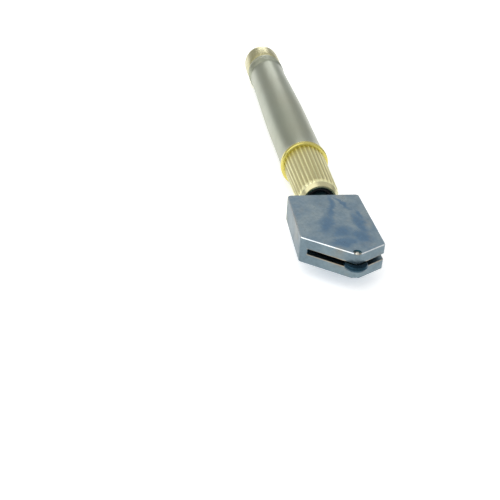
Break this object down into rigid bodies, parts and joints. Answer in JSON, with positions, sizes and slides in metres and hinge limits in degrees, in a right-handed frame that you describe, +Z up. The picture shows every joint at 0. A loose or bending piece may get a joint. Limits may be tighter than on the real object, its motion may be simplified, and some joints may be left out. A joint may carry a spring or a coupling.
{
  "type": "oil-feed glass cutter",
  "caption": "Pencil-shaped oil-feed glass cutter: hollow metal handle with a screw filler cap, fluted brass collar and a wide swivelling head holding a cutting wheel.",
  "frame": {"origin": "under the middle of the tool's bounding box, on the surface that it lies on", "axes": "+X along the handle towards the cutting wheel, +Z up with the head's wide guide faces level, +Y to the side that the wheel is offset to"},
  "size_m": [0.165, 0.019, 0.014],
  "materials": {
    "nickel_plated_brass": "satin nickel plate on brass",
    "polished_brass": "polished",
    "turned_brass": "fine turned",
    "plated_steel": "bright blue-grey plating, slightly mottled",
    "black_steel": "black oxide",
    "carbide": "ground and polished",
    "bright_steel": "bright",
    "nitrile_rubber": "matt",
    "cotton_wick": "twisted cotton"
  },
  "bodies": {
    "handle": {"handle_barrel": "nickel_plated_brass", "collar": "polished_brass", "collar_ring": "polished_brass", "collar_o_ring": "nitrile_rubber", "stem_wiper": "nitrile_rubber", "valve_seat": "turned_brass", "spring_retainer": "turned_brass", "valve_spring": "bright_steel"},
    "retainer": {"retaining_clip": "bright_steel", "thrust_washer": "turned_brass"},
    "head": {"cutting_head": "plated_steel", "head_stem": "black_steel", "stem_o_ring": "nitrile_rubber", "oil_wick": "cotton_wick", "wheel_axle": "bright_steel"},
    "wheel": {"cutting_wheel": "carbide"},
    "valve": {"valve_plunger": "turned_brass", "valve_poppet": "turned_brass", "valve_seal": "nitrile_rubber"},
    "cap_seal": {"cap_o_ring": "nitrile_rubber"},
    "cap": {"filler_cap": "polished_brass"}
  },
  "joints": [
    {"name": "head_press", "type": "slide", "parent": "handle", "child": "retainer", "axis": [-1, 0, 0], "range_m": [0, 0.001], "stiffness_N_per_m": 800, "springref_m": -0.0015},
    {"name": "head_swivel", "type": "hinge", "parent": "retainer", "child": "head", "pos_m": [0.04315, 0, 0.007], "axis": [1, 0, 0], "continuous": true},
    {"name": "wheel_spin", "type": "hinge", "parent": "head", "child": "wheel", "pos_m": [0.07975, 0.0021, 0.007], "axis": [0, 0, 1], "continuous": true},
    {"name": "valve_slide", "type": "slide", "parent": "handle", "child": "valve", "axis": [-1, 0, 0], "range_m": [0, 0.001], "deforming": ["valve_spring"]},
    {"name": "cap_lift", "type": "slide", "parent": "handle", "child": "cap_seal", "axis": [-1, 0, 0], "range_m": [0, 0.008]},
    {"name": "cap_turn", "type": "hinge", "parent": "cap_seal", "child": "cap", "pos_m": [-0.06285, 0, 0.007], "axis": [-1, 0, 0], "range_deg": [0, 2880]}
  ],
  "couplings": [
    {"joint": "valve_slide", "follows": "head_press", "ratio": 1},
    {"joint": "cap_lift", "follows": "cap_turn", "m_per_rad": 0.00015915}
  ]
}
